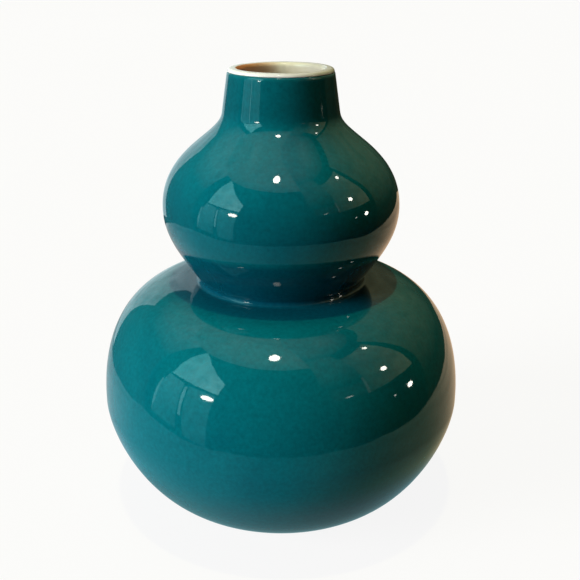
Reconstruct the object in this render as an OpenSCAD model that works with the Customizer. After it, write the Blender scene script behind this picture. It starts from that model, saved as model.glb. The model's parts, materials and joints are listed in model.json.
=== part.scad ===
// Double gourd vase, made in thrown sections that are luted with slip and then glazed.
// Millimetres, +Z up, origin in the middle of the ring that the vase stands on.
// The outline of the glazed surface runs from the foot to the lip in six stretches.
// A place on it is one number: 0 foot, 1 belly, 2 to 3 waist, 4 bulb, 5 neck, 6 lip band.

/* [Foot] */
// Radius of the glazed foot
foot_r = 46; // [42:0.5:50]
// Height of the glazed foot, up to the underside of the bulb
foot_h = 3.6; // [3:0.1:6]
// Width of the ring that the vase stands on
foot_ring_w = 6.5; // [4:0.5:10]
// Bevel of the standing edge, wiped bare of glaze
foot_bevel = 1.2; // [0.8:0.1:1.6]

/* [Lower bulb] */
// Largest radius of the lower bulb
belly_r = 80; // [74:0.5:88]
// Height of its widest line above the top of the foot
belly_h = 47.5; // [44:0.1:54]
// Angle of the underside above the horizontal, where it leaves the foot
under_deg = 10; // [6:1:20]
// Pull of the curve where it leaves the foot, larger is flatter under the bulb
under_pull = 20.5; // [16:0.5:26]
// Pull of the curve just under the widest line, larger is fuller
belly_low_pull = 13; // [8:0.5:20]
// Pull of the curve just above the widest line, larger gives a fuller shoulder
belly_high_pull = 56; // [48:0.5:60]

/* [Waist] */
// Height from the widest line of the lower bulb to the narrowest line
shoulder_h = 53.8; // [50:0.1:58]
// Radius of the narrowest line between the bulbs
waist_r = 36.3; // [33:0.1:40]
// Radius of the small hollow curve in the crease
crease_r = 1.5; // [1.2:0.1:3]
// Pull of the lower shoulder where it comes down to the crease
shoulder_pull = 2; // [1:0.5:6]
// Angle of the lower shoulder from the vertical, where it meets the crease
shoulder_deg = 82; // [74:1:86]
// Angle of the upper bulb from the vertical, where it leaves the crease
bulb_deg = 34; // [28:1:42]

/* [Upper bulb] */
// Largest radius of the upper bulb
bulb_r = 50.7; // [47:0.1:56]
// Height from the narrowest line to the widest line of the upper bulb
bulb_low_h = 31.9; // [29:0.1:36]
// Height from the widest line to the root of the neck
bulb_high_h = 39.4; // [36:0.1:45]
// Pull of the curve where it leaves the crease
bulb_foot_pull = 14; // [10:0.5:18]
// Pull of the curve just under the widest line
bulb_low_pull = 11.5; // [7:0.5:14]
// Pull of the curve just above the widest line, larger is fuller
bulb_high_pull = 24; // [20:0.5:27]
// Pull of the curve that runs into the neck, larger is softer
neck_root_pull = 10; // [8:0.5:13]

/* [Neck and lip] */
// Radius of the glazed neck at its top
neck_r = 22.1; // [20:0.1:25]
// How much wider the neck is at its root, all round
neck_spread = 2.5; // [1:0.1:4]
// Height from the root of the neck to the edge of the teal glaze
neck_h = 16.9; // [15:0.1:22]
// Height of the cream lip above the edge of the teal glaze
lip_band = 1.3; // [1:0.1:1.6]
// Width of the lip, from the top of the neck to the mouth
lip_w = 4.7; // [4.2:0.1:5.5]
// Rounding of the inner edge of the lip
lip_inner_round = 1.4; // [0.8:0.1:1.6]
// Length of the straight part of the mouth, below the rounded edge
mouth_length = 9; // [6:0.5:11]

/* [Walls, joints and glaze] */
// Thickness of the clay wall
clay_wall = 4.2; // [3.4:0.1:4.8]
// Thickness of the teal glaze
glaze = 0.5; // [0.3:0.05:0.7]
// Thickness of the cream coat inside and under the base
liner = 0.3; // [0.2:0.05:0.5]
// Thickness of the slip in a joint
slip = 0.6; // [0.4:0.1:0.8]
// Height between the outer and the inner edge of a bevelled joint
joint_bevel = 2; // [1.2:0.1:2.4]
// The same in the sharp crease of the waist
waist_bevel = 1.2; // [1:0.1:1.6]

/* [Hidden] */

// How finely the curves are followed: points to a stretch, to a full turn and to each
// rounded edge of the lip
stretch_points = 18;
turn_points = 180;
lip_points = 6;
// Less than any step on the outline
tiny = 0.0001;
// Directions in the outline's plane, and the angle between them
out = [1, 0];
up = [0, 1];
quarter = 90;

// A curve is given by its two ends and the two points that pull it
function bezier(p, t) =
    pow(1 - t, 3) * p[0] + 3 * pow(1 - t, 2) * t * p[1]
    + 3 * (1 - t) * pow(t, 2) * p[2] + pow(t, 3) * p[3];
function bezier_way(p, t) =
    3 * pow(1 - t, 2) * (p[1] - p[0]) + 6 * (1 - t) * t * (p[2] - p[1])
    + 3 * pow(t, 2) * (p[3] - p[2]);
function arc(centre, r, a) = centre + r * (cos(a) * out + sin(a) * up);

// Ends of the stretches on the glazed surface, as radius and height
foot_top = [foot_r, foot_h];
belly = [belly_r, foot_h + belly_h];
waist_z = belly[1] + shoulder_h;
crease_centre = [waist_r + crease_r, waist_z];
crease_start = 2 * quarter + shoulder_deg;
crease_turn = shoulder_deg + bulb_deg;
crease_low = arc(crease_centre, crease_r, crease_start);
crease_high = arc(crease_centre, crease_r, crease_start - crease_turn);
bulb = [bulb_r, waist_z + bulb_low_h];
neck_root = [neck_r + neck_spread, bulb[1] + bulb_high_h];
neck_top = [neck_r, neck_root[1] + neck_h];
neck_line = neck_top - neck_root;
neck_way = neck_line / norm(neck_line);

// The four free curves of the outline
under_curve = [foot_top, arc(foot_top, under_pull, under_deg), belly - belly_low_pull * up, belly];
shoulder_curve = [belly, belly + belly_high_pull * up,
    arc(crease_low, shoulder_pull, shoulder_deg - quarter), crease_low];
bulb_low_curve = [crease_high, arc(crease_high, bulb_foot_pull, quarter - bulb_deg),
    bulb - bulb_low_pull * up, bulb];
bulb_high_curve = [bulb, bulb + bulb_high_pull * up,
    neck_root - neck_root_pull * neck_way, neck_root];

// Point of the glazed surface at place u, and the way that the outline runs there
function crease_deg(u) = crease_start - (u - 2) * crease_turn;
function at(u) =
    u < 1 ? bezier(under_curve, u) :
    u < 2 ? bezier(shoulder_curve, u - 1) :
    u < 3 ? arc(crease_centre, crease_r, crease_deg(u)) :
    u < 4 ? bezier(bulb_low_curve, u - 3) :
    u < 5 ? bezier(bulb_high_curve, u - 4) : neck_root + (u - 5) * neck_line;
function way(u) =
    u < 1 ? bezier_way(under_curve, u) :
    u < 2 ? bezier_way(shoulder_curve, u - 1) :
    u < 3 ? arc([0, 0], crease_r * crease_turn * PI / (2 * quarter), crease_deg(u) - quarter) :
    u < 4 ? bezier_way(bulb_low_curve, u - 3) :
    u < 5 ? bezier_way(bulb_high_curve, u - 4) : neck_line;
function outward(u) = let (w = way(u)) (w[1] * out - w[0] * up) / norm(w);
// The same place, a depth below the glazed surface
function below(u, depth) = at(u) - depth * outward(u);
// The place that lies a length further along the outline
function along(u, length) = u + length / norm(way(length < 0 ? u - tiny : u));

// Depths below the glazed surface: the inner face of the clay, and the cream surface
clay_depth = glaze + clay_wall;
liner_depth = clay_depth + liner;

// Where the sections meet. Each joint slopes down towards the inside, so that the upper
// section sits in the rim of the lower one. Places: inner edges, middle, outer edges.
function joint(u, bevel) = [along(u, -(bevel + slip) / 2), along(u, -(bevel - slip) / 2),
    u, along(u, (bevel - slip) / 2), along(u, (bevel + slip) / 2)];
belly_joint = joint(1, joint_bevel);
waist_joint = joint(2.5, waist_bevel);
bulb_joint = joint(4, joint_bevel);
neck_joint = joint(5, joint_bevel);

// Lip: the clay is rounded outside in line with the neck and inside towards the mouth
lip_start = below(6, glaze);
lip_z = neck_top[1] + lip_band - liner;
lip_deg = atan2(outward(6)[1], outward(6)[0]);
lip_outer_round = (lip_z - lip_start[1]) / (1 - sin(lip_deg));
lip_outer_centre = lip_start - lip_outer_round * outward(6);
mouth_clay_r = neck_r - lip_w + liner;
lip_inner_centre = [mouth_clay_r + lip_inner_round, lip_z - lip_inner_round];
// Below the straight mouth the inside of the neck widens to meet the even wall, halfway
// down to the neck's joint
mouth_end_z = lip_inner_centre[1] - mouth_length;
mouth_end = 5 + (mouth_end_z - neck_root[1]) / neck_h;
flare = (neck_joint[4] + mouth_end) / 2;

// Every place where the outline has a point. All the pieces share these points, so they
// meet face to face.
cuts = concat([0], belly_joint, [2], waist_joint, [3], bulb_joint, neck_joint, [flare, 6]);
places = concat([for (i = [0 : len(cuts) - 2])
    let (a = cuts[i], b = cuts[i + 1], n = a < 5 ? ceil((b - a) * stretch_points) : 1)
    for (k = [0 : n - 1]) a + (b - a) * k / n], [6]);
function line(depth, from, to) =
    [for (u = places) if (u > from - tiny && u < to + tiny) below(u, depth)];
function turned(points) = [for (i = [len(points) - 1 : -1 : 0]) points[i]];

// Lip and mouth of the clay, or of the coat over it, from the outer edge down to the flare
function round_edge(centre, r, from, to) =
    [for (k = [0 : lip_points]) arc(centre, r, from + (to - from) * k / lip_points)];
function lip(coat) = concat(
    round_edge(lip_outer_centre, lip_outer_round + coat, lip_deg, quarter),
    round_edge(lip_inner_centre, lip_inner_round + coat, quarter, 2 * quarter),
    [[mouth_clay_r - coat, mouth_end_z]]);

// Foot: the corner of the clay under the bulb, and the ring below it
corner_z = foot_h + glaze * (1 - sin(under_deg)) / cos(under_deg);
ring_outer_r = foot_r - glaze;
ring_inner_r = ring_outer_r - foot_ring_w;
ring_h = corner_z - slip;

module spin(points) rotate_extrude($fn = turn_points) polygon(points);

// One section of the wall, from one joint to the next
module section(low, high) spin(concat(
    line(glaze, low[4], high[3]), turned(line(clay_depth, low[1], high[0]))));

// The slip that fills one joint
module seam(place) spin(concat(
    line(glaze, place[3], place[4]), turned(line(clay_depth, place[0], place[1]))));

module foot_ring() color("#e9e2d2") spin([
    [ring_inner_r + foot_bevel, 0], [ring_outer_r - foot_bevel, 0], [ring_outer_r, foot_bevel],
    [ring_outer_r, ring_h], [ring_inner_r, ring_h], [ring_inner_r, foot_bevel]]);

module foot_seam() color("#d8cdb6") spin([
    [ring_inner_r, ring_h], [ring_outer_r, ring_h],
    [ring_outer_r, corner_z], [ring_inner_r, corner_z]]);

module lower_bowl() color("#ece5d6") spin(concat(
    [[0, corner_z], [ring_outer_r, corner_z]],
    line(glaze, 0, belly_joint[3]),
    turned(line(clay_depth, 0, belly_joint[0])),
    [[0, below(0, clay_depth)[1]]]));

module belly_seam() color("#d8cdb6") seam(belly_joint);

module lower_shoulder() color("#ece5d6") section(belly_joint, waist_joint);

module waist_seam() color("#d8cdb6") seam(waist_joint);

module upper_bowl() color("#ece5d6") section(waist_joint, bulb_joint);

module upper_belly_seam() color("#d8cdb6") seam(bulb_joint);

module upper_shoulder() color("#ece5d6") section(bulb_joint, neck_joint);

module neck_seam() color("#d8cdb6") seam(neck_joint);

// The lip starts where the line along the neck ends, so that point is left to it
module neck() color("#ece5d6") spin(concat(
    line(glaze, neck_joint[4], 6 - 2 * tiny),
    lip(0),
    turned(line(clay_depth, neck_joint[1], flare))));

// The line of the outline starts at the top of the foot, so that point is left to it
module teal_glaze() color("#0d6a6f") spin(concat(
    [[foot_r, foot_bevel]],
    line(0, 0, 6),
    turned(line(glaze, 0, 6)),
    [[ring_outer_r, corner_z], [ring_outer_r, foot_bevel]]));

module liner_glaze() color("#efe6cf") spin(concat(
    lip(0),
    turned(line(clay_depth, 0, flare)),
    [[0, below(0, clay_depth)[1]], [0, below(0, liner_depth)[1]]],
    line(liner_depth, 0, flare),
    turned(lip(liner))));

module base_glaze() color("#efe6cf") spin([
    [0, corner_z], [ring_inner_r, corner_z], [ring_inner_r, foot_bevel],
    [ring_inner_r - liner, foot_bevel], [ring_inner_r - liner, corner_z - liner],
    [0, corner_z - liner]]);

foot_ring();
foot_seam();
lower_bowl();
belly_seam();
lower_shoulder();
waist_seam();
upper_bowl();
upper_belly_seam();
upper_shoulder();
neck_seam();
neck();
teal_glaze();
liner_glaze();
base_glaze();
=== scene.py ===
"""Gourd vase in teal glaze: the finish of every surface, the stage, the light and the camera."""

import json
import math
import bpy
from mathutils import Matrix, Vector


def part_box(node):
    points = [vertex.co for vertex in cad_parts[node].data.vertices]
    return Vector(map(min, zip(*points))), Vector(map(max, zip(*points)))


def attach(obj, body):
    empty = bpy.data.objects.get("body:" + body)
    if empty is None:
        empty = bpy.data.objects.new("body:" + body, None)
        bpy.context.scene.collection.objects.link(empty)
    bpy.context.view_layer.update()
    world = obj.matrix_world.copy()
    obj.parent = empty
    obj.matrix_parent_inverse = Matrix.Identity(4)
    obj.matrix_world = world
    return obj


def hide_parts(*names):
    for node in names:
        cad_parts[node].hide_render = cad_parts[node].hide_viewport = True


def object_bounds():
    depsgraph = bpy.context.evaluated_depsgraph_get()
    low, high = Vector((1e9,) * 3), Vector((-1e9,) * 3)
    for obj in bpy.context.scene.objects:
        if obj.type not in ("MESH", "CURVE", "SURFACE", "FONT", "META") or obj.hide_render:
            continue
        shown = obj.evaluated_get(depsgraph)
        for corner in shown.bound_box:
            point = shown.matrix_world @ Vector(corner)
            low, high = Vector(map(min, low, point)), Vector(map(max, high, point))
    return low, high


bl_info = {
    "name": "Gourd vase",
    "version": (1, 0, 0),
    "blender": (4, 5, 0),
    "location": "View3D > Sidebar > Vase",
    "description": "Glazes a double gourd vase and sets it on a pale floor in soft light",
    "category": "Add Mesh",
}

import bpy
import numpy as np
from bpy.props import FloatProperty, FloatVectorProperty, IntProperty, PointerProperty

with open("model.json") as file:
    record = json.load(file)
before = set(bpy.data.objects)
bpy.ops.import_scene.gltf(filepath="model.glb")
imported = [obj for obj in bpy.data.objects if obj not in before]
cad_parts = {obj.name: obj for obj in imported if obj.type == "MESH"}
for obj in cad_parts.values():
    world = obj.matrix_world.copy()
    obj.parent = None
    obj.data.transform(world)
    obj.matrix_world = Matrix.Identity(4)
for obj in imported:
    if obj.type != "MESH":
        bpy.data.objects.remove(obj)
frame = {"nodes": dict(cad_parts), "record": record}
CAD_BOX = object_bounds()

MM = 0.001
QUARTER = math.pi / 2
# A radius under this many metres counts as a point on the axis
ON_AXIS = 1e-9
# Side of the square picture, and the width of the camera's sensor
FRAME_PX = 580
SENSOR_MM = 36.0


def widest(node):
    """Largest radius of a CAD node."""
    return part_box(node)[1].x


def mid_height(node):
    """Middle height of a CAD node."""
    low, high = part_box(node)
    return (low.z + high.z) / 2


def length(name, default, description, low=0.0, high=1.0):
    """A size in metres that a user can change."""
    return FloatProperty(
        name=name, description=description, default=default, min=low, max=high,
        precision=5, unit="LENGTH",
    )


def angle(name, default, description):
    """An angle that a user can change, given in degrees here."""
    return FloatProperty(
        name=name, description=description, default=math.radians(default),
        min=-math.pi, max=math.pi, subtype="ANGLE",
    )


def colour(name, default, description):
    """A colour that a user can change."""
    return FloatVectorProperty(
        name=name, description=description, default=default, min=0.0, max=1.0,
        size=3, subtype="COLOR",
    )


def number(name, default, description, low=0.0, high=100.0):
    """A plain number that a user can change."""
    return FloatProperty(name=name, description=description, default=default, min=low, max=high)


class VaseShape(bpy.types.PropertyGroup):
    """Sizes of the glazed outline. What can be measured on the frame comes from it."""

    foot_r: length("Foot radius", 46 * MM, "Radius of the glazed foot")
    foot_h: length("Foot height", 3.6 * MM, "Height of the foot up to the bulb")
    foot_fillet: length("Foot fillet", 1.4 * MM, "Radius of the glaze pooled above the foot")
    belly_r: length("Belly radius", widest("teal_glaze"), "Largest radius of the lower bulb")
    belly_z: length("Belly height", mid_height("belly_seam"), "Height of the widest line")
    under_angle: angle("Under angle", 10, "Rise of the underside where it leaves the foot")
    under_pull: length("Under pull", 20.5 * MM, "Pull of the curve where it leaves the foot")
    belly_low_pull: length("Belly low pull", 13 * MM, "Pull of the curve under the belly")
    belly_high_pull: length("Belly high pull", 56 * MM, "Pull of the curve above the belly")
    waist_r: length("Waist radius", 36.3 * MM, "Radius of the narrowest line")
    waist_rise: length("Waist rise", 53.8 * MM, "Height from the belly to the narrowest line")
    crease_r: length("Crease radius", 1.5 * MM, "Radius of the hollow curve in the crease")
    shoulder_pull: length("Shoulder pull", 2 * MM, "Pull of the shoulder at the crease")
    shoulder_angle: angle("Shoulder angle", 82, "Shoulder from the vertical at the crease")
    bulb_angle: angle("Bulb angle", 34, "Upper bulb from the vertical at the crease")
    bulb_r: length("Bulb radius", 50.7 * MM, "Largest radius of the upper bulb")
    bulb_z: length("Bulb height", mid_height("upper_belly_seam"), "Height of its widest line")
    bulb_foot_pull: length("Bulb foot pull", 14 * MM, "Pull of the curve at the crease")
    bulb_low_pull: length("Bulb low pull", 11.5 * MM, "Pull of the curve under the widest line")
    bulb_high_pull: length("Bulb high pull", 24 * MM, "Pull of the curve above it")
    neck_root_pull: length("Neck root pull", 10 * MM, "Pull of the curve into the neck")
    neck_r: length("Neck radius", 22.1 * MM, "Radius of the glazed neck at its top")
    neck_spread: length("Neck spread", 2.5 * MM, "How much wider the neck is at its root")
    neck_h: length("Neck height", 16.9 * MM, "From the neck's root to the edge of the teal glaze")
    lip_w: length("Lip width", 4.7 * MM, "Width of the lip from the neck to the mouth")
    lip_inner_round: length("Lip rounding", 1.4 * MM, "Rounding of the inner edge of the lip")
    mouth_length: length("Mouth length", 9 * MM, "Straight part of the mouth")
    wall: length("Wall", 4.2 * MM, "Thickness of the clay wall")
    glaze: length("Glaze", 0.5 * MM, "Thickness of the teal glaze")
    liner: length("Liner", 0.3 * MM, "Thickness of the cream coat")
    foot_ring_w: length("Foot ring width", 6.5 * MM, "Width of the standing ring")
    foot_bevel: length("Foot bevel", 1.2 * MM, "Height of the bare standing edge")
    wave: length("Wave", 0.05 * MM, "Depth of the long waves left by the throwing")
    ripple: length("Ripple", 0.012 * MM, "Depth of the fine rings left by the throwing")
    turn_steps: IntProperty(name="Steps", description="Faces round the vase", default=288)
    row_steps: IntProperty(name="Rows", description="Rows of faces to a stretch", default=44)


class VaseFinish(bpy.types.PropertyGroup):
    """Colours of the glazes and the clay."""

    teal: colour("Teal", (0.0006, 0.145, 0.187), "Glaze where it is of even thickness")
    # Deep teal also serves as painted shade in the crease and under the upper bulb
    teal_deep: colour("Deep teal", (0.0004, 0.078, 0.126), "Glaze where it has pooled")
    teal_thin: colour("Thin teal", (0.004, 0.200, 0.235), "Glaze where it has run thin")
    cream: colour("Cream", (1.0, 1.0, 0.98), "Cream coat of the lip and the inside")
    # Painted shade and warm light deep in the mouth
    cream_deep_shade: colour("Warm cream", (0.62, 0.42, 0.20), "Cream coat deep inside")
    bisque: colour("Bisque", (0.72, 0.62, 0.48), "Bare clay of the standing edge")
    slip: colour("Slip", (0.60, 0.50, 0.38), "Fired slip in the joints")


class StageLook(bpy.types.PropertyGroup):
    """Camera, floor and light."""

    camera_y: length("Camera back", -0.360, "Camera's place along Y", -10.0, 0.0)
    camera_z: length("Camera height", 0.23685, "Camera's place along Z", 0.0, 10.0)
    pitch: angle("Pitch", 21.236, "How far the camera looks down")
    focal_px: number("Focal length", 861.82, "Focal length in pixels of the picture", 1, 9999)
    axis_px: number("Axis", 281.0, "Column of the picture that the axis stands on", 0, FRAME_PX)
    floor: colour("Floor", (0.93, 0.925, 0.915), "Pale floor")
    bounce_left: colour("Bounce left", (0.86, 0.86, 0.93), "Floor as it lights the left side")
    bounce_right: colour("Bounce right", (0.03, 0.03, 0.02), "Floor as it lights the right side")
    floor_size: length("Floor size", 40.0, "Side of the floor", 1.0, 100.0)
    floor_white: number("Floor white", 0.9, "Share of plain white in the floor", 0, 1)
    backdrop: colour("Backdrop", (0.975, 0.97, 0.96), "Plain ground behind the vase")
    fill: number("Fill", 0.003, "Strength of the even light from all round")
    key: number("Key", 1.04, "Strength of the soft key light on a surface that faces it")
    key_azimuth: angle("Key azimuth", -66, "Direction of the key light, right of the camera")
    key_height: angle("Key height", 17, "Height of the key light over the floor")
    top: number("Top", 0.33, "Strength of the small light from above")
    back: number("Back", 0.17, "Strength of the wide light from behind on the left")
    warm: number("Warm", 0.02, "Strength of the warm light from the right")


SHAPES = (VaseShape, VaseFinish, StageLook)


def bezier(points, t):
    """Points of a curve with two ends and two pulls, for an array of t."""
    a, b, c, d = (np.asarray(p, float) for p in points)
    t = t[..., None]
    return (1 - t) ** 3 * a + 3 * (1 - t) ** 2 * t * b + 3 * (1 - t) * t ** 2 * c + t ** 3 * d


def bezier_way(points, t):
    """The way that the same curve runs."""
    a, b, c, d = (np.asarray(p, float) for p in points)
    t = t[..., None]
    return 3 * (1 - t) ** 2 * (b - a) + 6 * (1 - t) * t * (c - b) + 3 * t ** 2 * (d - c)


def on_circle(centre, radius, a):
    """Points on a circle in the plane of the outline, for an array of angles."""
    a = np.asarray(a, float)
    return np.asarray(centre, float) + radius * np.stack([np.cos(a), np.sin(a)], axis=-1)


class Outline:
    """The glazed outline as places: -2 foot edge, -1 to 0 foot fillet, 1 belly, 2 to 3
    waist, 4 bulb, 5 neck, 6 edge of the teal glaze."""

    def __init__(self, s):
        reach = s.foot_fillet / math.tan((QUARTER + s.under_angle) / 2)
        self.foot_low = np.array([s.foot_r, s.foot_bevel])
        self.foot_top = np.array([s.foot_r, s.foot_h])
        self.fillet_centre = np.array([s.foot_r + s.foot_fillet, s.foot_h - reach])
        self.fillet_r = s.foot_fillet
        self.fillet_turn = QUARTER - s.under_angle
        self.under_start = reach / (3 * s.under_pull)
        belly = np.array([s.belly_r, s.belly_z])
        waist_z = s.belly_z + s.waist_rise
        self.crease_centre = np.array([s.waist_r + s.crease_r, waist_z])
        self.crease_r = s.crease_r
        self.crease_start = math.pi + s.shoulder_angle
        self.crease_turn = s.shoulder_angle + s.bulb_angle
        low = on_circle(self.crease_centre, s.crease_r, self.crease_start)
        high = on_circle(self.crease_centre, s.crease_r, self.crease_start - self.crease_turn)
        bulb = np.array([s.bulb_r, s.bulb_z])
        top_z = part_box("teal_glaze")[1].z
        self.neck_root = np.array([s.neck_r + s.neck_spread, top_z - s.neck_h])
        self.neck_top = np.array([s.neck_r, top_z])
        neck_line = self.neck_top - self.neck_root
        neck_way = neck_line / np.linalg.norm(neck_line)
        up = np.array([0.0, 1.0])
        self.under = (self.foot_top, on_circle(self.foot_top, s.under_pull, s.under_angle),
                      belly - s.belly_low_pull * up, belly)
        self.shoulder = (belly, belly + s.belly_high_pull * up,
                         on_circle(low, s.shoulder_pull, s.shoulder_angle - QUARTER), low)
        self.bulb_low = (high, on_circle(high, s.bulb_foot_pull, QUARTER - s.bulb_angle),
                         bulb - s.bulb_low_pull * up, bulb)
        self.bulb_high = (bulb, bulb + s.bulb_high_pull * up,
                          self.neck_root - s.neck_root_pull * neck_way, self.neck_root)

    def at(self, u):
        """Points of the outline, and the outward directions there, for an array of places."""
        u = np.asarray(u, float)
        point = np.zeros(u.shape + (2,))
        way = np.zeros(u.shape + (2,))

        def put(where, points, ways):
            point[where] = points
            way[where] = ways

        def put_round(where, centre, radius, a):
            put(where, on_circle(centre, radius, a), on_circle([0, 0], 1, a - QUARTER))

        def put_line(where, start, low, high):
            t = (u[where] - start)[..., None]
            put(where, low + t * (high - low), np.broadcast_to(high - low, t.shape[:-1] + (2,)))

        put_line(u < -1, -2, self.foot_low, np.array([self.foot_low[0], self.fillet_centre[1]]))
        fillet = (u >= -1) & (u < 0)
        a = math.pi - (u[fillet] + 1) * self.fillet_turn
        put_round(fillet, self.fillet_centre, self.fillet_r, a)
        under = (u >= 0) & (u < 1)
        t = self.under_start + (1 - self.under_start) * u[under]
        put(under, bezier(self.under, t), bezier_way(self.under, t))
        crease = (u >= 2) & (u < 3)
        a = self.crease_start - (u[crease] - 2) * self.crease_turn
        put_round(crease, self.crease_centre, self.crease_r, a)
        for start, curve in ((1, self.shoulder), (3, self.bulb_low), (4, self.bulb_high)):
            here = (u >= start) & (u < start + 1)
            t = u[here] - start
            put(here, bezier(curve, t), bezier_way(curve, t))
        put_line(u >= 5, 5, self.neck_root, self.neck_top)
        way /= np.linalg.norm(way, axis=-1, keepdims=True)
        outward = np.stack([way[..., 1], -way[..., 0]], axis=-1)
        return point, outward

    def below(self, u, depth):
        """Points a depth below the outline."""
        point, outward = self.at(u)
        return point - depth * outward


def unevenness(s, height, turn):
    """How far the surface dips below the outline: long waves and fine throwing rings.
    It only dips, so the vase keeps inside its measured size."""
    waves = (
        0.50 * np.sin(2 * turn + 0.7 + 14 * height)
        + 0.30 * np.sin(3 * turn + 2.1 - 31 * height)
        + 0.24 * np.sin(5 * turn - 1.3 + 52 * height)
        + 0.12 * np.sin(9 * turn + 0.4 - 95 * height)
    )
    rings = np.sin(900 * height + 0.9 * np.sin(turn + 0.5)) + 0.6 * np.sin(430 * height + turn)
    return s.wave * (1.16 - waves) / 2 + s.ripple * (1.6 - rings) / 2


def lathe(name, rows, turn):
    """Closed mesh from an array of rows of (radius, height) at each angle of the turn. The
    last row joins the first, and a row of no radius becomes one point on the axis."""
    points, index = [], []
    total = 0
    for radius, height in zip(rows[..., 0], rows[..., 1]):
        if radius.max() < ON_AXIS:
            points.append(np.array([[0.0, 0.0, height.mean()]]))
            index.append(np.full(len(turn), total))
        else:
            ring = (radius * np.sin(turn), -radius * np.cos(turn), height)
            points.append(np.stack(ring, axis=-1))
            index.append(total + np.arange(len(turn)))
        total += len(points[-1])
    faces = []
    for here, above in zip(index, index[1:] + index[:1]):
        for corners in zip(here, np.roll(here, -1), np.roll(above, -1), above):
            face = list(dict.fromkeys(int(v) for v in corners))
            if len(face) > 2:
                faces.append(face)
    mesh = bpy.data.meshes.new(name)
    mesh.from_pydata(np.concatenate(points).tolist(), [], faces)
    mesh.validate()
    mesh.shade_smooth()
    piece = bpy.data.objects.new(name, mesh)
    bpy.context.scene.collection.objects.link(piece)
    return piece


def stretch(low, high, steps):
    """Places from low to high."""
    return low + (high - low) * np.linspace(0, 1, steps + 1)


def joined(*stops):
    """Places along (start, steps) stretches, each up to the next stop's start."""
    parts = [stretch(low, high, steps)[:-1] for (low, steps), (high, _) in zip(stops, stops[1:])]
    return np.concatenate(parts + [[stops[-1][0]]])


def turned(coat, turn):
    """Rows of the same (radius, height) at each angle of the turn, from one outline."""
    return np.repeat(coat[:, None, :], len(turn), axis=1)


def round_edge(centre, radius, start, end, steps):
    """Points of a rounded edge in the plane of the outline."""
    return on_circle(centre, radius, np.linspace(start, end, steps + 1))


class Finish:
    """Builds one node material."""

    def __init__(self, name):
        self.material = bpy.data.materials.new(name)
        self.material.use_nodes = True
        self.tree = self.material.node_tree
        self.tree.nodes.clear()
        self.output = self.tree.nodes.new("ShaderNodeOutputMaterial")
        self.shader = self.tree.nodes.new("ShaderNodeBsdfPrincipled")
        self.join(self.shader, "BSDF", self.output, "Surface")

    def join(self, a, out, b, into):
        """Links an output of one node to an input of another."""
        self.tree.links.new(a.outputs[out], b.inputs[into])

    def node(self, kind, **values):
        """A node with its settings, and its inputs by name."""
        made = self.tree.nodes.new(kind)
        for key, value in values.items():
            if key in made.bl_rna.properties:
                setattr(made, key, value)
            else:
                made.inputs[key.replace("_", " ")].default_value = value
        return made

    def place(self):
        """Coordinates of the point, in metres as Object and in shares of the box as Generated."""
        return self.node("ShaderNodeTexCoord")

    def noise(self, scale, detail=3.0, roughness=0.5, stretch_z=1.0, distortion=0.0):
        """Noise in the vase's own space. Scale is in waves to the metre."""
        mapping = self.node("ShaderNodeMapping")
        mapping.inputs["Scale"].default_value = (1, 1, stretch_z)
        self.join(self.place(), "Object", mapping, "Vector")
        made = self.node("ShaderNodeTexNoise", Scale=scale, Detail=detail, Roughness=roughness,
                         Distortion=distortion)
        self.join(mapping, "Vector", made, "Vector")
        return made

    def ramp(self, source, out, stops, smooth=True):
        """Colour ramp of (position, colour) stops."""
        made = self.node("ShaderNodeValToRGB")
        made.color_ramp.interpolation = "EASE" if smooth else "LINEAR"
        while len(made.color_ramp.elements) < len(stops):
            made.color_ramp.elements.new(0.5)
        for element, (position, value) in zip(made.color_ramp.elements, stops):
            element.position = position
            element.color = (*value, 1.0)
        self.join(source, out, made, "Fac")
        return made

    def grey_ramp(self, source, out, low, high, at_low=0.0, at_high=1.0):
        """Map Range from low..high to at_low..at_high."""
        made = self.node("ShaderNodeMapRange")
        made.inputs["From Min"].default_value = low
        made.inputs["From Max"].default_value = high
        made.inputs["To Min"].default_value = at_low
        made.inputs["To Max"].default_value = at_high
        self.join(source, out, made, "Value")
        return made

    def mix(self, factor, a, b, blend="MIX"):
        """Mixes two colours. Each of the three is a (node, socket) pair or a value."""
        made = self.node("ShaderNodeMix")
        made.data_type = "RGBA"
        made.blend_type = blend
        for value, socket in ((factor, 0), (a, 6), (b, 7)):
            if isinstance(value, tuple) and hasattr(value[0], "outputs"):
                self.tree.links.new(value[0].outputs[value[1]], made.inputs[socket])
            elif socket:
                made.inputs[socket].default_value = (*value, 1.0)
            else:
                made.inputs[socket].default_value = value
        return made

    def axes(self):
        """X, Y and Z of the point, in metres."""
        parts = self.node("ShaderNodeSeparateXYZ")
        self.join(self.place(), "Object", parts, "Vector")
        return parts

    def bump(self, source, out, strength, distance, before=None):
        """Fine relief on the shader's normal."""
        made = self.node("ShaderNodeBump", Strength=strength, Distance=distance)
        self.join(source, out, made, "Height")
        if before:
            self.join(before, "Normal", made, "Normal")
        self.join(made, "Normal", self.shader, "Normal")
        return made


# How much colour the glaze keeps, by its share of the height: painted shade darkens it under the
# upper bulb's widest line and on the neck, and painted light brightens it over the upper bulb's
# shoulder
GLAZE_HEIGHT_SHADE = ((0.0, 1.0), (0.50, 1.0), (0.61, 0.84), (0.66, 0.75), (0.74, 0.82), (0.80, 0.98),
             (0.85, 1.06), (0.89, 0.94), (0.93, 0.66), (1.0, 0.72))
# Heights over which the glaze changes: below its top edge where it runs thin, round the crease and
# up the upper bulb's underside where painted shade darkens it, and above the foot where it pools
LIP_THINNING = (2.2 * MM, 0.2 * MM)
CREASE_SHADE_BELOW = 4 * MM
CREASE_SHADE_END = (18 * MM, 20.5 * MM)
FOOT_POOL = 5 * MM


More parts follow.
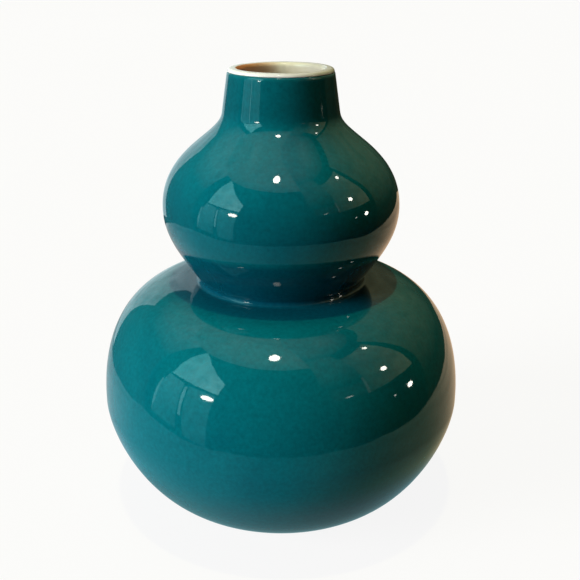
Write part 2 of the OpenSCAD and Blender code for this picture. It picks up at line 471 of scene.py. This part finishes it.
def teal_finish(look, s):
    """Deep glossy glaze: painted shade in the crease, under the upper bulb and on the neck,
    painted light on the upper bulb's shoulder; pooled above the foot, thin at the lip.
    """
    f = Finish("teal_glaze")
    cloud = f.noise(18.0, detail=4.0, roughness=0.55, distortion=0.6)
    tones = ((0.30, look.teal_deep), (0.52, look.teal), (0.78, look.teal_thin))
    even = f.ramp(cloud, "Fac", tones)
    base = f.mix(0.35, look.teal, (even, "Color"))
    z = f.axes()
    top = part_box("teal_glaze")[1].z
    thin = f.grey_ramp(z, "Z", top - LIP_THINNING[0], top - LIP_THINNING[1])
    lipped = f.mix((thin, "Result"), (base, 2), look.teal_thin)
    # Painted shade: deep teal from just below the crease up the upper bulb's underside
    waist_z = s.belly_z + s.waist_rise
    above = f.grey_ramp(z, "Z", waist_z - CREASE_SHADE_BELOW, waist_z)
    shade_end = [waist_z + rise for rise in CREASE_SHADE_END]
    beyond = f.grey_ramp(z, "Z", *shade_end, 1.0, 0.0)
    crease = f.node("ShaderNodeMath", operation="MULTIPLY")
    f.join(above, "Result", crease, 0)
    f.join(beyond, "Result", crease, 1)
    crease_shaded = f.mix((crease, "Value"), (lipped, 2), look.teal_deep)
    foot = f.grey_ramp(z, "Z", s.foot_h, s.foot_h + FOOT_POOL, 0.8, 0.0)
    footed = f.mix((foot, "Result"), (crease_shaded, 2), look.teal_deep)
    # Painted shade under the upper bulb and on the neck, and painted light on its shoulder, by
    # height
    part = f.grey_ramp(z, "Z", 0.0, top)
    height_shade = f.ramp(part, "Result", [(at, (share,) * 3) for at, share in GLAZE_HEIGHT_SHADE], smooth=False)
    shaded = f.mix(1.0, (footed, 2), (height_shade, "Color"), "MULTIPLY")
    mottle = f.noise(650.0, detail=3.0, roughness=0.6)
    fine = f.ramp(mottle, "Fac", ((0.3, (0.86,) * 3), (0.7, (1.14,) * 3)), smooth=False)
    mottled = f.mix(1.0, (shaded, 2), (fine, "Color"), "MULTIPLY")
    f.join(mottled, 2, f.shader, "Base Color")
    grain = f.noise(420.0, detail=2.0, roughness=0.4)
    rough = f.grey_ramp(grain, "Fac", 0.3, 0.7, 0.030, 0.050)
    f.join(rough, "Result", f.shader, "Roughness")
    f.shader.inputs["IOR"].default_value = 1.5
    peel = f.noise(260.0, detail=2.0, roughness=0.35)
    f.bump(peel, "Fac", 0.14, 0.12 * MM)
    return f.material


# Depths under the lip over which painted shade and warm light darken and warm the cream
DEEP_SHADE = (0.5 * MM, 30 * MM)
# Painted warm light and shade round the mouth's bore, from the left side to the right, and how far
# past the bore's radius it fades
MOUTH_SIDE_LIGHT = ((0.0, (1.0, 0.30, 0.10)), (0.14, (1.0, 0.48, 0.24)), (0.5, (1.0, 0.97, 0.72)),
              (0.88, (0.62, 0.61, 0.50)))
MOUTH_SIDE_LIGHT_FADE = (0.5 * MM, 1.2 * MM)


def cream_finish(look, mouth_r=None):
    """Cream coat. In a mouth of the given radius it carries painted shade and warm light: warmer
    and darker with depth, orange at the left side and grey at the right.
    """
    f = Finish("cream_glaze")
    cloud = f.noise(60.0, detail=4.0, roughness=0.6)
    tone = f.ramp(cloud, "Fac", ((0.3, [c * 0.93 for c in look.cream]), (0.7, look.cream)))
    if mouth_r is None:
        f.join(tone, "Color", f.shader, "Base Color")
    else:
        z = f.axes()
        top = CAD_BOX[1].z
        # Painted shade and warm light, stronger deeper in the mouth
        depth_shade = f.grey_ramp(z, "Z", top - DEEP_SHADE[0], top - DEEP_SHADE[1])
        warm = f.mix((depth_shade, "Result"), (tone, "Color"), look.cream_deep_shade)
        # Painted warm light and shade: orange and dark at the left side of the mouth, grey at the
        # right
        flat = f.node("ShaderNodeMapping")
        flat.inputs["Scale"].default_value = (1, 1, 0)
        f.join(f.place(), "Object", flat, "Vector")
        reach = f.node("ShaderNodeVectorMath", operation="LENGTH")
        f.join(flat, "Vector", reach, 0)
        fade = [mouth_r + past for past in MOUTH_SIDE_LIGHT_FADE]
        mouth = f.grey_ramp(reach, "Value", *fade, 1.0, 0.0)
        side = f.grey_ramp(z, "X", 0.2 * MM - mouth_r, mouth_r - 0.2 * MM)
        side_light = f.ramp(side, "Result", MOUTH_SIDE_LIGHT, smooth=False)
        side_lit = f.mix((mouth, "Result"), (warm, 2), (side_light, "Color"), "MULTIPLY")
        f.join(side_lit, 2, f.shader, "Base Color")
    f.shader.inputs["Roughness"].default_value = 0.18
    peel = f.noise(500.0, detail=2.0)
    f.bump(peel, "Fac", 0.08, 0.1 * MM)
    return f.material


def clay_finish(name, tint):
    """Bare fired clay: fine grain, faint turning lines and a few dark specks."""
    f = Finish(name)
    grain = f.noise(900.0, detail=5.0, roughness=0.7)
    tone = f.ramp(grain, "Fac", ((0.25, [c * 0.82 for c in tint]), (0.75, tint)))
    speck = f.noise(2600.0, detail=1.0)
    dots = f.ramp(speck, "Fac", ((0.70, (0, 0, 0)), (0.74, (1, 1, 1))), smooth=False)
    spotted = f.mix((dots, "Color"), (tone, "Color"), [c * 0.45 for c in tint])
    f.join(spotted, 2, f.shader, "Base Color")
    rough = f.grey_ramp(grain, "Fac", 0.3, 0.7, 0.72, 0.9)
    f.join(rough, "Result", f.shader, "Roughness")
    lines = f.noise(160.0, detail=3.0, stretch_z=14.0)
    first = f.bump(lines, "Fac", 0.15, 0.2 * MM)
    f.bump(grain, "Fac", 0.35, 0.15 * MM, before=first)
    return f.material


def dress(piece, material, slot, *nodes):
    """Gives a piece its material, its place in the frame and the nodes that it stands for."""
    piece.data.materials.clear()
    piece.data.materials.append(material)
    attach(piece, "root")
    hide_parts(*nodes)


# Edges of the teal glaze, in places of the outline: how far each wanders, and the gap under
# the lip with the place from which it draws back
FOOT_RUN = 0.0315
LIP_RUN = 0.004
LIP_GAP = 0.008
LIP_RUN_START = 5.8
# Width of the rounding at those edges, and the share of the thickness that it takes off
EDGE_ROLL = 0.45 * MM
LIP_THIN = 0.62
FOOT_THIN = 0.8


class VASE_OT_teal_glaze(bpy.types.Operator):
    """Pours the teal glaze over the outside, from the foot to the lip"""

    bl_idname = "vase.teal_glaze"
    bl_label = "Teal glaze"

    def execute(self, context):
        s = context.scene.vase_shape
        outline = Outline(s)
        n = s.row_steps
        turn = np.linspace(0, 2 * math.pi, s.turn_steps, endpoint=False)
        places = joined((-2, 4), (-1, 10), (0, n), (1, n), (1.86, 18), (2, 20), (3, 14),
                        (3.2, n // 2), (4, n), (5, 20), (6, 0))
        inner_places = joined((0, 40), (2, 8), (3, 50), (6, 0))[::-1]
        # The edges wander a little: more at the foot than at the lip
        foot_run = np.sin(3 * turn + 1) + 0.6 * np.sin(7 * turn) + 0.3 * np.sin(17 * turn)
        lip_run = np.sin(2 * turn) + 0.7 * np.sin(5 * turn + 2) + 0.4 * np.sin(11 * turn)

        def drawn_back(places):
            """Places, with those near the lip pulled down unevenly."""
            near_lip = np.clip((places - LIP_RUN_START) / (6 - LIP_RUN_START), 0, 1)[:, None]
            return places[:, None] - near_lip * (LIP_GAP + LIP_RUN * lip_run)

        def rolled(way_to_edge):
            """Dip of the rounding at a way from an edge, if it took off all the glaze."""
            near = np.clip(1 - way_to_edge / EDGE_ROLL, 0, 1)
            return s.glaze * (1 - np.sqrt(1 - near ** 2))[:, None]

        u = drawn_back(places)
        u[0] += FOOT_RUN * foot_run
        point, outward = outline.at(u)
        dip = unevenness(s, point[..., 1], turn)
        dip = dip + LIP_THIN * rolled((places[-1] - places) * s.neck_h)
        dip = dip + FOOT_THIN * rolled((places + 2) * (outline.fillet_centre[1] - s.foot_bevel))
        outer = point - dip[..., None] * outward
        inner = outline.below(drawn_back(inner_places), s.glaze)
        foot_wall = np.array([[s.foot_r - s.glaze, s.foot_bevel]])
        inner_foot = np.broadcast_to(foot_wall[:, None, :], (1, len(turn), 2))
        rows = np.concatenate([outer, inner, inner_foot])
        piece = lathe("vase_teal_glaze", rows, turn)
        dress(piece, teal_finish(context.scene.vase_finish, s), "teal_glaze", "teal_glaze")
        return {"FINISHED"}


# Place of the outline where the inside runs into the straight mouth, and how unlevel the
# lip is
MOUTH_PLACE = 5.32
LIP_SWAY = 0.04 * MM


class VASE_OT_cream_glaze(bpy.types.Operator):
    """Lines the inside with cream glaze and carries it over the lip"""

    bl_idname = "vase.cream_glaze"
    bl_label = "Cream glaze"

    def execute(self, context):
        s = context.scene.vase_shape
        outline = Outline(s)
        turn = np.linspace(0, 2 * math.pi, s.turn_steps, endpoint=False)
        clay_depth = s.glaze + s.wall
        start, outward = (a[0] for a in outline.at(np.array([6.0])))
        start = start - s.glaze * outward
        lip_z = CAD_BOX[1].z - s.liner
        lip_angle = math.atan2(outward[1], outward[0])
        outer_round = (lip_z - start[1]) / (1 - math.sin(lip_angle))
        outer_centre = start - outer_round * outward
        mouth_r = s.neck_r - s.lip_w + s.liner
        inner_centre = np.array([mouth_r + s.lip_inner_round, lip_z - s.lip_inner_round])
        mouth_end = np.array([mouth_r, inner_centre[1] - s.mouth_length])

        def lip(coat):
            down = mouth_end - [coat, 0]
            top = inner_centre - [s.lip_inner_round + coat, 0]
            straight = top + np.linspace(0, 1, 8)[1:, None] * (down - top)
            return np.concatenate([
                round_edge(outer_centre, outer_round + coat, lip_angle, QUARTER, 14),
                round_edge(inner_centre, s.lip_inner_round + coat, QUARTER, math.pi, 14),
                straight,
            ])

        inside = joined((0, 36), (2, 12), (3, 36), (5, 4), (MOUTH_PLACE, 0))
        hidden = outline.below(inside, clay_depth)
        shown = outline.below(inside, clay_depth + s.liner)
        floor_out = np.array([[0.0, hidden[0, 1]]])
        floor_in = np.array([[0.0, shown[0, 1]]])
        coat = np.concatenate([
            lip(s.liner), shown[::-1], floor_in, floor_out, hidden, lip(0)[::-1],
        ])
        rows = turned(coat, turn)
        sway = np.sin(2 * turn + 0.3) + 0.6 * np.sin(3 * turn) + 0.3 * np.sin(7 * turn)
        high = np.clip((coat[:, 1] - mouth_end[1]) / (lip_z - mouth_end[1]), 0, 1)
        rows[..., 1] -= high[:, None] * LIP_SWAY * (2 + sway[None, :])
        piece = lathe("vase_cream_glaze", rows, turn)
        finish = cream_finish(context.scene.vase_finish, mouth_r)
        dress(piece, finish, "cream_glaze", "liner_glaze")
        return {"FINISHED"}


# Wear of the standing edge, and the rounding of the base's glaze against the foot ring
FOOT_WEAR = 0.05 * MM
BASE_ROUND = 0.8 * MM


class VASE_OT_foot(bpy.types.Operator):
    """Turns the foot ring with its bare standing edge, and glazes the base inside it"""

    bl_idname = "vase.foot"
    bl_label = "Foot"

    def execute(self, context):
        s = context.scene.vase_shape
        look = context.scene.vase_finish
        turn = np.linspace(0, 2 * math.pi, s.turn_steps, endpoint=False)
        low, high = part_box("foot_ring")
        outer = high.x
        inner = outer - s.foot_ring_w
        bevel = s.foot_bevel
        ring = np.concatenate([
            [[outer, high.z]],
            round_edge([outer - bevel, bevel], bevel, 0, -QUARTER, 8),
            round_edge([inner + bevel, bevel], bevel, -QUARTER, -math.pi, 8),
            [[inner, high.z]],
        ])
        rows = turned(ring, turn)
        wear = FOOT_WEAR * (1 + np.sin(4 * turn + 0.4) * np.sin(9 * turn)) / 2
        near_floor = np.clip(1 - ring[:, 1] / bevel, 0, 1)
        rows[..., 1] += near_floor[:, None] * wear[None, :]
        piece = lathe("vase_foot_ring", rows[::-1], turn)
        dress(piece, clay_finish("bare_clay", look.bisque), "clay", "foot_ring")

        base_low, base_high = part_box("base_glaze")
        inner = base_high.x
        top = base_high.z
        under = top - s.liner
        corner = [inner - s.liner - BASE_ROUND, under - BASE_ROUND]
        face = np.linspace(0, corner[0], 24)
        coat = np.concatenate([
            np.stack([face, np.full_like(face, under)], axis=-1),
            round_edge(corner, BASE_ROUND, QUARTER, 0, 6)[1:],
            [[inner - s.liner * 0.7, base_low.z], [inner, base_low.z + 0.1 * MM]],
            [[inner, top], [0.0, top]],
        ])
        rows = turned(coat, turn)
        piece = lathe("vase_base_glaze", rows, turn)
        dress(piece, cream_finish(look), "cream_glaze", "base_glaze")
        return {"FINISHED"}


class VASE_OT_clay(bpy.types.Operator):
    """Finishes the clay sections and the slip in their joints, which the glazes cover"""

    bl_idname = "vase.clay"
    bl_label = "Clay and slip"

    def execute(self, context):
        look = context.scene.vase_finish
        clay = clay_finish("clay", look.bisque)
        slip = clay_finish("slip", look.slip)
        for row in frame["record"]["subparts"]:
            material = {"clay": clay, "slip": slip}.get(row["material_slot"])
            if material:
                for place in frame["nodes"][row["node"]].material_slots:
                    place.material = material
        return {"FINISHED"}


# Point from which the directions of lamps and cards are counted, and how far off they are
CARD_CENTRE = (0.0, 0.0, 0.1)
SUN_DISTANCE = 2.0
LAMP_DISTANCE = 2.8
WINDOW_DISTANCE = 3.2
WALL_DISTANCE = 4.0
# Degrees to a face of a bent card
CARD_STEP = 6.0
# Where the floor changes from its left to its right bounce, in metres along X
BOUNCE_CHANGE = (-0.16, 0.0)
# Soft lamps: azimuth and height in degrees, the angle that the light fills, and its tint
KEY_SPREAD, KEY_TINT = 30, (0.96, 0.99, 1.0)
SUNS = {
    "top": (-20, 85, 1.5, (1.0, 0.93, 0.46)),
    "back": (-150, 50, 90, (1.0, 0.98, 0.72)),
    "warm": (76, 35, 40, (1.0, 0.55, 0.25)),
}


def toward(azimuth, elevation, distance, centre=CARD_CENTRE):
    """Place seen from the vase at an azimuth, right of the camera, and an elevation."""
    a, e = math.radians(azimuth), math.radians(elevation)
    return (
        centre[0] + distance * math.cos(e) * math.sin(a),
        centre[1] - distance * math.cos(e) * math.cos(a),
        centre[2] + distance * math.sin(e),
    )


# Light that the gloss meets on the table, by azimuth round the vase: cool and dim in front,
# warm and bright behind on the right, cool on the left. Close to the foot it is even
TABLE = (
    (-90, (0.18, 0.50, 0.60)), (0, (0.06, 0.36, 0.42)), (50, (0.13, 0.34, 0.28)),
    (90, (0.26, 0.34, 0.22)), (142, (0.86, 0.60, 0.38)), (182, (0.66, 0.44, 0.28)),
    (200, (0.56, 0.58, 0.58)), (270, (0.18, 0.50, 0.60)),
)
TABLE_NEAR = (0.17, 0.33, 0.36)
TABLE_NEAR_REACH = (0.075, 0.11)
# Edge of the table as the gloss shows it: azimuth, distance and drop in metres
TABLE_RIM = (
    (-180, 1.5, 0.30), (-120, 1.5, 0.32), (-92, 1.5, 0.31), (-75, 1.2, 0.29), (-55, 0.75, 0.20),
    (-30, 0.60, 0.15), (0, 0.59, 0.15), (30, 0.60, 0.14), (60, 0.65, 0.14), (90, 0.72, 0.14),
    (105, 1.0, 0.18), (120, 1.5, 0.25), (135, 1.5, 0.17), (150, 1.5, 0.09),
)


def glow(name, low, high, way, start, end):
    """Node material that glows from one colour to another across a card, a little unevenly.
    The way gives the share of each axis of the card in that change, which runs from start to
    end. A table of azimuths in place of the first colour is the light round the vase."""
    f = Finish(name)
    f.tree.nodes.remove(f.shader)
    shine = f.node("ShaderNodeEmission")
    if isinstance(low[0], tuple):
        round_way = f.node("ShaderNodeTexGradient", gradient_type="RADIAL")
        f.join(f.place(), "Object", round_way, "Vector")
        stops = [((a + 90) / 360, tone) for a, tone in low]
        far = f.ramp(round_way, "Fac", stops, smooth=False)
        reach = f.node("ShaderNodeVectorMath", operation="LENGTH")
        f.join(f.place(), "Object", reach, 0)
        away = f.grey_ramp(reach, "Value", *TABLE_NEAR_REACH)
        blend, out = f.mix((away, "Result"), TABLE_NEAR, (far, "Color")), 2
    else:
        along = f.node("ShaderNodeVectorMath", operation="DOT_PRODUCT")
        f.join(f.place(), "Generated", along, 0)
        along.inputs[1].default_value = way
        change = f.grey_ramp(along, "Value", start, end)
        blend, out = f.mix((change, "Result"), low, high), 2
    cloud = f.noise(2.2, detail=4.0, roughness=0.6)
    uneven = f.grey_ramp(cloud, "Fac", 0.3, 0.7, 0.7, 1.3)
    f.join(blend, out, shine, "Color")
    f.join(uneven, "Result", shine, "Strength")
    f.join(shine, "Emission", f.output, "Surface")
    return f.material


def card(name, corners, faces, low, high=None, way=(0, 0, 0), start=0.0, end=1.0):
    """A card held round the vase, which only its gloss shows. No faces means a flat one."""
    mesh = bpy.data.meshes.new(name)
    mesh.from_pydata(corners, [], faces or [tuple(range(len(corners)))])
    piece = bpy.data.objects.new(name, mesh)
    bpy.context.scene.collection.objects.link(piece)
    mesh.materials.append(glow(name, low, high or low, way, start, end))
    for ray in ("camera", "diffuse", "shadow", "transmission", "volume_scatter"):
        setattr(piece, "visible_" + ray, False)


def band(name, azimuths, elevations, distance, *light):
    """A card bent round the vase, between two azimuths and two elevations."""
    across = max(1, round((azimuths[1] - azimuths[0]) / CARD_STEP))
    rise = max(1, round((elevations[1] - elevations[0]) / CARD_STEP))
    corners = [toward(azimuths[0] + (azimuths[1] - azimuths[0]) * i / across,
                      elevations[0] + (elevations[1] - elevations[0]) * k / rise, distance)
               for k in range(rise + 1) for i in range(across + 1)]
    row = across + 1
    faces = [(k * row + i, k * row + i + 1, (k + 1) * row + i + 1, (k + 1) * row + i)
             for k in range(rise) for i in range(across)]
    card(name, corners, faces, *light)


def disc(name, azimuth, elevation, wide, high, tint):
    """A round or oval card, its half width and half height in degrees."""
    wide /= math.cos(math.radians(elevation))
    card(name, [toward(azimuth + wide * math.cos(t), elevation + high * math.sin(t), LAMP_DISTANCE)
                for t in stretch(0, 2 * math.pi, 20)[:-1]], None, tint)


# Walls and ceiling that the gloss shows: azimuths, elevations, distance, and the light as
# glow() takes it
UP, BACK = (0, 0, 1), (0, 1, 0)
ROOM = {
    "dark": ((-180, 180), (-90, 90), 5.0, (0.014, 0.014, 0.014)),
    "ceiling_left": ((-180, 27), (54, 90), WALL_DISTANCE,
                     (0.34, 0.48, 0.40), (0.50, 0.60, 0.46), UP, 0.10, 0.50),
    "ceiling_right": ((27, 180), (63, 90), WALL_DISTANCE,
                      (0.12, 0.12, 0.10), (0.34, 0.31, 0.24), UP, 0.10, 0.70),
    "left": ((-180, -90), (-18, 54), WALL_DISTANCE,
             (0.05, 0.07, 0.08), (0.48, 0.68, 0.62), UP, 0.70, 1.0),
    "left_far": ((-180, -144), (-16, 24), 3.4, (0.66, 0.80, 0.84)),
    "right_pale": ((58, 95), (13, 55), WALL_DISTANCE,
                   (0.16, 0.20, 0.12), (0.55, 0.56, 0.32), BACK, 0.05, 0.95),
    "right_slope": ((27, 58), (28, 63), WALL_DISTANCE,
                    (0.03, 0.04, 0.03), (0.22, 0.26, 0.19), UP),
    "right_soffit": ((32, 56), (14, 25), WALL_DISTANCE, (0.06, 0.07, 0.06)),
    "right_jamb": ((56, 58), (13, 30), WALL_DISTANCE, (0.42, 0.42, 0.36)),
    "right_far": ((101, 180), (-16, 58), WALL_DISTANCE,
                  (0.03, 0.03, 0.015), (0.27, 0.28, 0.15), UP, 0.24, 0.75),
}
# Lamps and glints: azimuth, elevation, half width and half height in degrees, and colour
LAMP_WHITE = (26.0, 25.0, 22.0)
DISCS = {
    "lamp_top": (-9, 71, 2.6, 4.2, LAMP_WHITE),
    "lamp_window": (-46, 12.4, 4.4, 2.1, LAMP_WHITE),
    "lamp_high": (88, 51, 1.4, 1.4, LAMP_WHITE),
    "lamp_right": (75, 26, 2.3, 2.3, LAMP_WHITE),
    "lamp_low": (86, 1.8, 2.4, 1.9, LAMP_WHITE),
    "glint": (43, 15, 2.2, 0.5, (5.0, 5.0, 4.5)),
    "glint_low": (73, 1.2, 0.7, 0.7, (6.0, 6.0, 5.5)),
}
# A tall window: a bright upper pane, dimmer panes below it, a light bar and the frame's edge.
# Corners as azimuth and elevation, then the light
WINDOW = {
    "high": (((-77, 54), (-68, 51), (-58, 44.5), (-48, 37.5), (-38, 29), (-40, 18), (-56, 19),
              (-76, 20)), (1.45, 3.5, 3.5), (0.75, 2.5, 2.5), BACK),
    "left": (((-77, 18.5), (-64, 17), (-65.5, -16), (-84, -13), (-81, 4)),
             (0.12, 0.42, 0.48), (0.36, 1.15, 1.25), UP),
    "right": (((-60, 17), (-41, 16.5), (-43, 3), (-46, -22), (-61, -18.5)),
              (0.10, 0.42, 0.50), (0.30, 1.15, 1.20), UP),
    "bar": (((-63, 15), (-61, 15.5), (-62, -8), (-64, -8)), (1.0, 2.3, 2.4)),
    "edge": (((-80.5, 12), (-79.3, 12), (-82.4, -13), (-84.2, -13)), (0.7, 1.7, 1.8)),
}


class VASE_OT_stage(bpy.types.Operator):
    """Lays the pale floor and sets the soft light, the cards and the camera"""

    bl_idname = "vase.stage"
    bl_label = "Stage"

    def execute(self, context):
        look = context.scene.vase_stage
        self.lay_floor(context, look)
        self.light(context, look)
        self.mirror_room()
        self.aim(context, look)
        return {"FINISHED"}

    def shown(self, tree):
        """Light Path nodes: 1 for camera, glossy and transmission rays."""
        rays = tree.nodes.new("ShaderNodeLightPath")
        first = tree.nodes.new("ShaderNodeMath")
        first.operation = "MAXIMUM"
        both = tree.nodes.new("ShaderNodeMath")
        both.operation = "MAXIMUM"
        tree.links.new(rays.outputs["Is Camera Ray"], first.inputs[0])
        tree.links.new(rays.outputs["Is Glossy Ray"], first.inputs[1])
        tree.links.new(first.outputs["Value"], both.inputs[0])
        tree.links.new(rays.outputs["Is Transmission Ray"], both.inputs[1])
        return both

    def lay_floor(self, context, look):
        half = look.floor_size / 2
        mesh = bpy.data.meshes.new("floor")
        mesh.from_pydata([(-half, -half, 0), (half, -half, 0), (half, half, 0), (-half, half, 0)],
                         [], [(0, 1, 2, 3)])
        floor = bpy.data.objects.new("floor", mesh)
        context.scene.collection.objects.link(floor)
        f = Finish("floor")
        cloud = f.noise(3.0, detail=3.0)
        tone = f.ramp(cloud, "Fac", ((0.2, [c * 0.985 for c in look.floor]), (0.8, look.floor)))
        shown = self.shown(f.tree)
        side = f.grey_ramp(f.axes(), "X", *BOUNCE_CHANGE)
        bounce = f.mix((side, "Result"), look.bounce_left, look.bounce_right)
        base = f.mix((shown, "Value"), (bounce, 2), (tone, "Color"))
        f.join(base, 2, f.shader, "Base Color")
        f.shader.inputs["Roughness"].default_value = 0.9
        f.shader.inputs["Specular IOR Level"].default_value = 0.1
        white = f.node("ShaderNodeEmission")
        share = f.node("ShaderNodeMath", operation="MULTIPLY")
        f.join(shown, "Value", share, 0)
        share.inputs[1].default_value = look.floor_white
        mix = f.node("ShaderNodeMixShader")
        f.join(share, "Value", mix, "Fac")
        f.tree.links.new(f.shader.outputs["BSDF"], mix.inputs[1])
        f.tree.links.new(white.outputs["Emission"], mix.inputs[2])
        f.join(mix, "Shader", f.output, "Surface")
        mesh.materials.append(f.material)
        floor.visible_glossy = False

    def light(self, context, look):
        world = bpy.data.worlds.new("fill")
        context.scene.world = world
        world.use_nodes = True
        tree = world.node_tree
        tree.nodes.clear()
        output = tree.nodes.new("ShaderNodeOutputWorld")
        fill = tree.nodes.new("ShaderNodeBackground")
        fill.inputs["Strength"].default_value = look.fill
        backdrop = tree.nodes.new("ShaderNodeBackground")
        backdrop.inputs["Color"].default_value = (*look.backdrop, 1)
        mix = tree.nodes.new("ShaderNodeMixShader")
        tree.links.new(self.shown(tree).outputs["Value"], mix.inputs["Fac"])
        tree.links.new(fill.outputs["Background"], mix.inputs[1])
        tree.links.new(backdrop.outputs["Background"], mix.inputs[2])
        tree.links.new(mix.outputs["Shader"], output.inputs["Surface"])
        self.sun(context, "key", look.key, look.key_azimuth, look.key_height, KEY_SPREAD, KEY_TINT)
        for name, (azimuth, height, spread, tint) in SUNS.items():
            self.sun(context, name, getattr(look, name), math.radians(azimuth),
                     math.radians(height), spread, tint)

    def sun(self, context, name, strength, azimuth, height, spread, tint):
        """A soft lamp far off. The spread is the angle that it fills."""
        data = bpy.data.lights.new(name, "SUN")
        data.energy = strength * math.pi
        data.angle = math.radians(spread)
        data.color = tint
        lamp = bpy.data.objects.new(name, data)
        context.scene.collection.objects.link(lamp)
        lamp.location = toward(math.degrees(azimuth), math.degrees(height), SUN_DISTANCE)
        lamp.rotation_euler = (QUARTER - height, 0, azimuth)
        lamp.visible_glossy = False

    def mirror_room(self):
        """What the gloss shows: a dark room with pale walls and ceiling, the table, a tall
        window, and the room's lamps."""
        for key, row in ROOM.items():
            band("card_" + key, *row)
        rim = [toward(azimuth, 0, reach, (0, 0, -drop)) for azimuth, reach, drop in TABLE_RIM]
        fan = [(0, k, k % len(rim) + 1) for k in range(1, len(rim) + 1)]
        card("card_table", [(0.0, 0.0, 0.0)] + rim, fan, TABLE)
        for key, (corners, *light) in WINDOW.items():
            places = [toward(a, e, WINDOW_DISTANCE) for a, e in corners]
            card("card_window_" + key, places, None, *light)
        for key, row in DISCS.items():
            disc("card_" + key, *row)

    def aim(self, context, look):
        data = bpy.data.cameras.new("camera")
        data.sensor_width = SENSOR_MM
        data.lens = look.focal_px / FRAME_PX * SENSOR_MM
        data.shift_x = (FRAME_PX / 2 - look.axis_px) / FRAME_PX
        camera = bpy.data.objects.new("camera", data)
        camera.location = (0, look.camera_y, look.camera_z)
        camera.rotation_euler = (QUARTER - look.pitch, 0, 0)
        context.scene.collection.objects.link(camera)
        context.scene.camera = camera
        context.scene.view_settings.view_transform = "Standard"


PIECES = (VASE_OT_clay, VASE_OT_teal_glaze, VASE_OT_cream_glaze, VASE_OT_foot, VASE_OT_stage)


class VASE_PT_panel(bpy.types.Panel):
    """Sidebar panel that lists the pieces of the vase"""

    bl_idname = "VASE_PT_panel"
    bl_label = "Gourd vase"
    bl_space_type = "VIEW_3D"
    bl_region_type = "UI"
    bl_category = "Vase"

    def draw(self, context):
        for piece in PIECES:
            self.layout.operator(piece.bl_idname)
        scene = context.scene
        for group in (scene.vase_shape, scene.vase_finish, scene.vase_stage):
            box = self.layout.box()
            for key in group.__annotations__:
                box.prop(group, key)


def register():
    for item in SHAPES + PIECES + (VASE_PT_panel,):
        bpy.utils.register_class(item)
    bpy.types.Scene.vase_shape = PointerProperty(type=VaseShape)
    bpy.types.Scene.vase_finish = PointerProperty(type=VaseFinish)
    bpy.types.Scene.vase_stage = PointerProperty(type=StageLook)


def unregister():
    del bpy.types.Scene.vase_stage
    del bpy.types.Scene.vase_finish
    del bpy.types.Scene.vase_shape
    for item in reversed(SHAPES + PIECES + (VASE_PT_panel,)):
        bpy.utils.unregister_class(item)


def main():
    register()
    bpy.ops.vase.clay()
    bpy.ops.vase.teal_glaze()
    bpy.ops.vase.cream_glaze()
    bpy.ops.vase.foot()
    bpy.ops.vase.stage()


if __name__ == "__main__":
    main()
